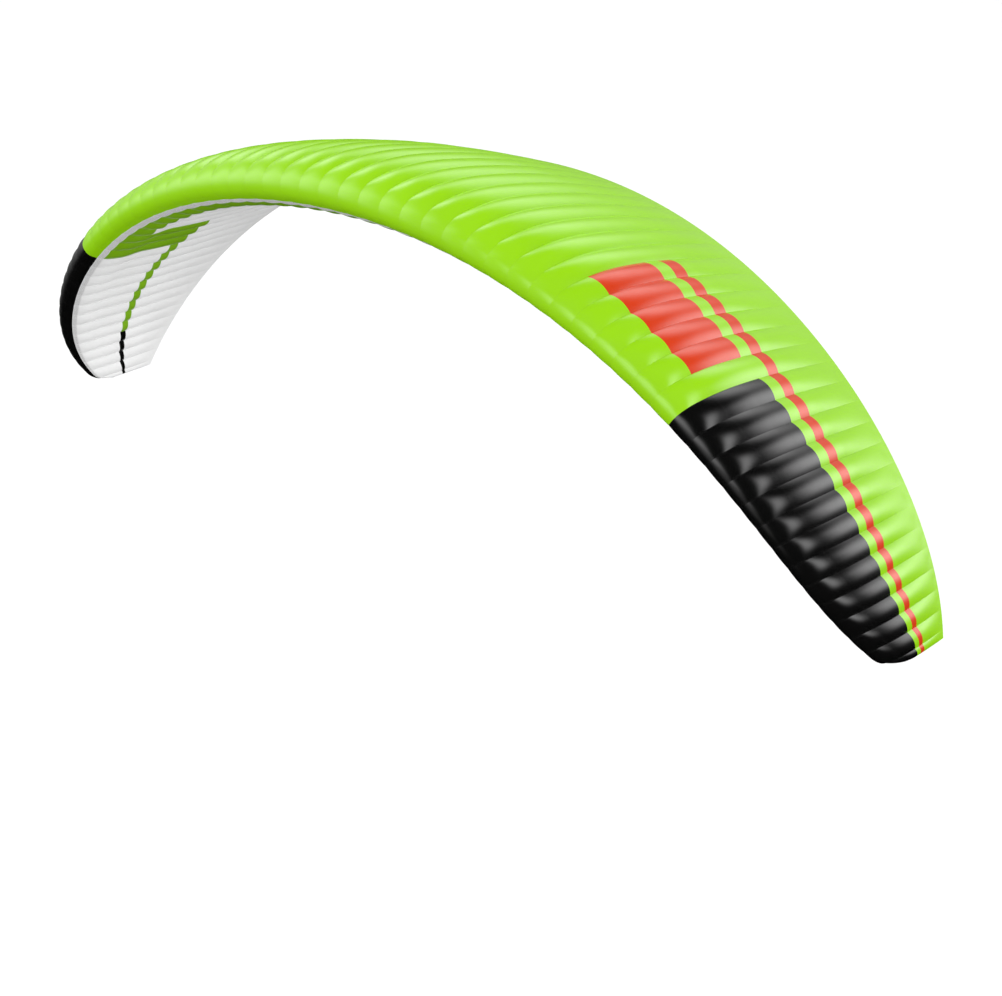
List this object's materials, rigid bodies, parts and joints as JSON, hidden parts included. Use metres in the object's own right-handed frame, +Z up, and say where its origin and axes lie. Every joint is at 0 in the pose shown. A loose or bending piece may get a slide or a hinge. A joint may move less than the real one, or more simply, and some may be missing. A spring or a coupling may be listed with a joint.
{
  "type": "paraglider wing",
  "caption": "Inflated paraglider wing: an arched, swept ram-air canopy of sewn cloth panels with an intake strip along the nose.",
  "frame": {"origin": "middle of the underside at about a third of the chord, where the lines' pull acts in flight", "axes": "+X along the span, -Y forwards out of the nose, +Z up in flight"},
  "size_m": [9.5272, 2.771, 3.1709],
  "materials": {
    "lime_cloth": "lime green coated ripstop cloth, semi-gloss",
    "orange_cloth": "orange coated ripstop cloth, semi-gloss",
    "black_cloth": "black coated ripstop cloth, semi-gloss",
    "white_cloth": "white coated ripstop cloth, semi-gloss",
    "grey_mesh": "pale grey fine mesh cloth, matte"
  },
  "bodies": {
    "root": {"upper_skin_centre": "lime_cloth", "nose_panel_centre": "lime_cloth", "intake_strip": "grey_mesh", "under_band": "lime_cloth", "lower_skin_centre": "white_cloth", "nose_panel_left": "black_cloth", "nose_panel_right": "black_cloth", "dark_panel_left": "black_cloth", "dark_panel_right": "black_cloth", "colour_bar_left": "orange_cloth", "colour_bar_right": "orange_cloth", "colour_stripe_left": "orange_cloth", "colour_stripe_right": "orange_cloth", "upper_skin_front_left": "lime_cloth", "upper_skin_front_right": "lime_cloth", "upper_skin_rear_left": "lime_cloth", "upper_skin_rear_right": "lime_cloth", "under_block_left": "lime_cloth", "under_block_right": "lime_cloth", "under_stripe_inner_left": "lime_cloth", "under_stripe_inner_right": "lime_cloth", "under_stripe_outer_left": "black_cloth", "under_stripe_outer_right": "black_cloth", "lower_skin_front_left": "white_cloth", "lower_skin_front_right": "white_cloth", "lower_skin_rear_left": "white_cloth", "lower_skin_rear_right": "white_cloth", "tip_panel_left": "white_cloth", "tip_panel_right": "white_cloth"}
  },
  "joints": []
}
